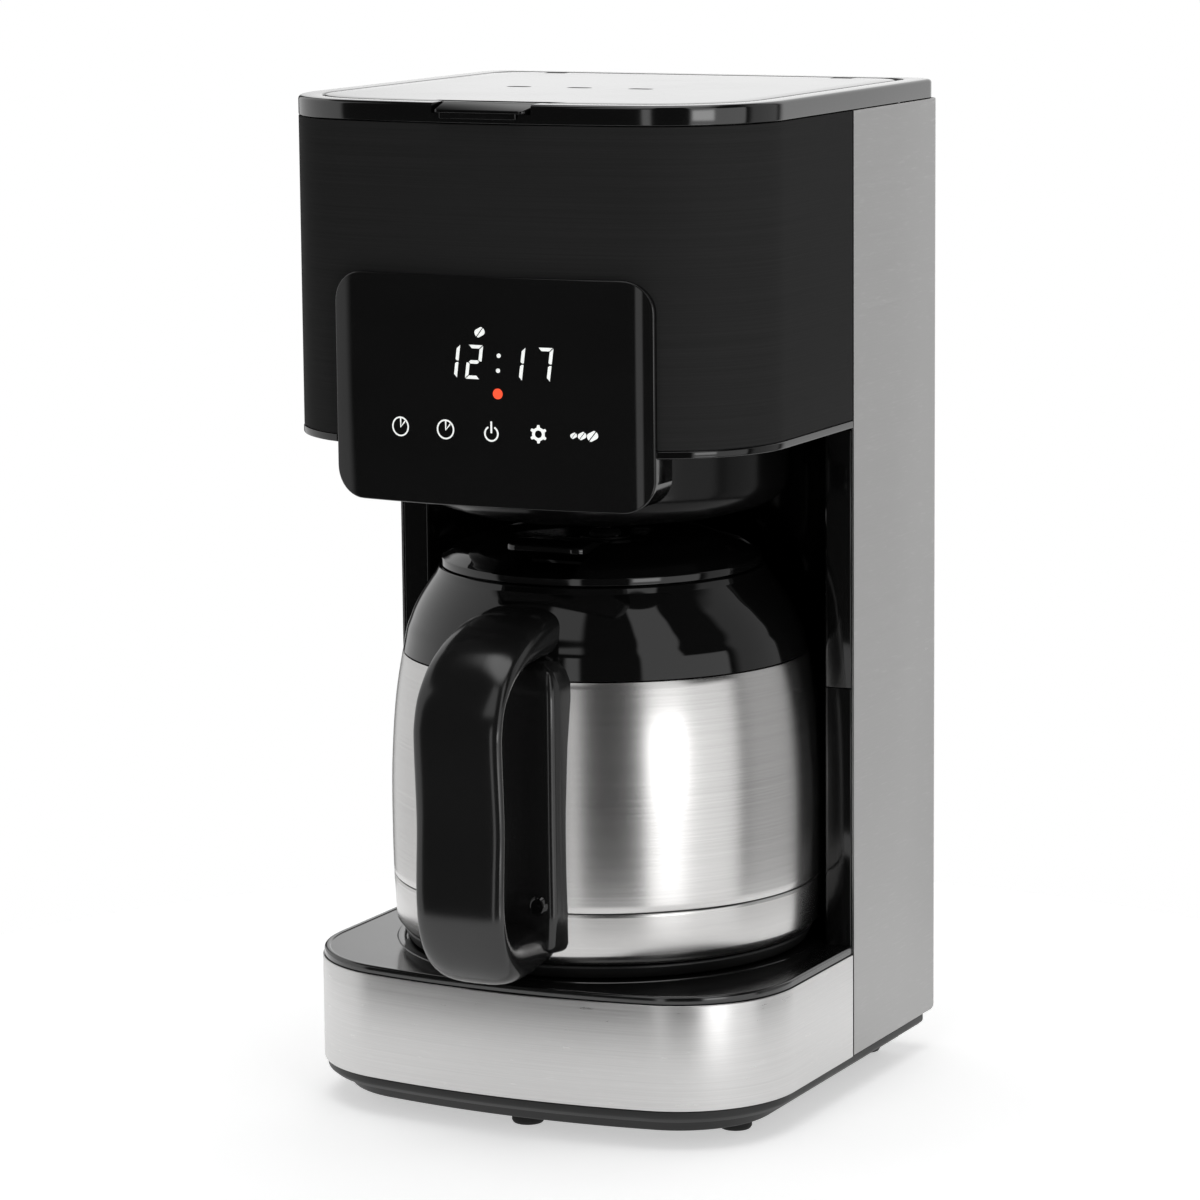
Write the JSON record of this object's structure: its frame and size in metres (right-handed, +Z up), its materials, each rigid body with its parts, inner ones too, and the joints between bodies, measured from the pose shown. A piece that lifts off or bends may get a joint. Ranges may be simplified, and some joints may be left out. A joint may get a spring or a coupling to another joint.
{
  "type": "drip coffee maker",
  "caption": "Upright drip coffee maker with brushed steel column and base band, black head with a touch control panel, hinged lid, and a steel vacuum jug with a black handle.",
  "frame": {"origin": "on the surface that the feet stand on, at the middle of the whole object's footprint, the jug's handle included", "axes": "+Z up; the front, with the control panel and the jug's handle, faces -Y; +X is to the right when looking at the front along +Y"},
  "size_m": [0.182, 0.2166, 0.36],
  "materials": {
    "matte_black": "fine matte moulded plastic",
    "gloss_black": "high gloss moulded plastic",
    "rubber_black": "matte rubber",
    "brushed_steel": "horizontally brushed stainless steel",
    "black_sheet": "dark brushed sheet under a satin lacquer",
    "panel_glass": "polished black touch panel",
    "aluminium_cast": "plain extruded aluminium",
    "plain_steel": "plain stainless steel",
    "circuit_board": "green solder mask",
    "smoked_plastic": "smoked tank plastic",
    "silicone": "matte silicone"
  },
  "bodies": {
    "machine": {"base_pan": "matte_black", "foot_front_middle": "rubber_black", "foot_front_left": "rubber_black", "foot_front_right": "rubber_black", "foot_rear_left": "rubber_black", "foot_rear_right": "rubber_black", "base_housing": "matte_black", "base_steel_band": "brushed_steel", "base_deck": "gloss_black", "heater_tube": "aluminium_cast", "thermostat": "plain_steel", "thermal_fuse": "gloss_black", "power_board": "circuit_board", "cord_gland": "rubber_black", "column_liner_lower": "gloss_black", "column_liner_upper": "gloss_black", "side_panel_left": "brushed_steel", "side_panel_right": "brushed_steel", "rear_panel": "matte_black", "rear_base_cover": "matte_black", "head_housing": "matte_black", "head_sheet": "black_sheet", "head_trim_left": "gloss_black", "head_trim_right": "gloss_black", "top_rim": "gloss_black", "control_housing": "matte_black", "control_glass": "panel_glass", "control_board": "circuit_board", "display_module": "matte_black", "filter_housing": "matte_black", "filter_basket": "matte_black", "permanent_filter": "plain_steel", "water_tank": "smoked_plastic", "check_valve": "silicone", "cold_hose": "silicone", "riser_tube": "silicone", "riser_seal": "silicone"},
    "lid": {"lid": "gloss_black", "lid_hinge_pin_left": "plain_steel", "lid_hinge_pin_right": "plain_steel", "water_channel": "matte_black", "shower_plate": "matte_black"},
    "drip_stop": {"drip_stop_valve": "rubber_black", "drip_stop_spring": "plain_steel"},
    "jug": {"jug_steel_shell": "brushed_steel", "jug_bottom_cap": "brushed_steel", "jug_foot_ring": "matte_black", "jug_liner": "plain_steel", "jug_collar": "gloss_black", "jug_handle": "gloss_black"},
    "jug_lid": {"jug_lid": "gloss_black", "jug_lid_seal": "silicone", "jug_lever_pin": "plain_steel"},
    "jug_lever": {"jug_lever": "gloss_black"}
  },
  "joints": [
    {"name": "lid_hinge", "type": "hinge", "parent": "machine", "child": "lid", "pos_m": [0, 0.0908, 0.3575], "axis": [-1, 0, 0], "range_deg": [0, 85]},
    {"name": "jug_slide", "type": "slide", "parent": "machine", "child": "jug", "axis": [0, -1, 0], "range_m": [0, 0.2]},
    {"name": "jug_lid_turn", "type": "hinge", "parent": "jug", "child": "jug_lid", "pos_m": [0, 0.0063, 0.195], "axis": [0, 0, 1], "range_deg": [0, 60]},
    {"name": "jug_lever_press", "type": "hinge", "parent": "jug_lid", "child": "jug_lever", "pos_m": [0, -0.0237, 0.198], "axis": [1, 0, 0], "range_deg": [0, 10], "stiffness_Nm_per_rad": 0.3},
    {"name": "drip_stop_lift", "type": "slide", "parent": "machine", "child": "drip_stop", "axis": [0, 0, 1], "range_m": [0, 0.003], "stiffness_N_per_m": 300, "springref_m": -0.002, "deforming": ["drip_stop_spring"]}
  ]
}
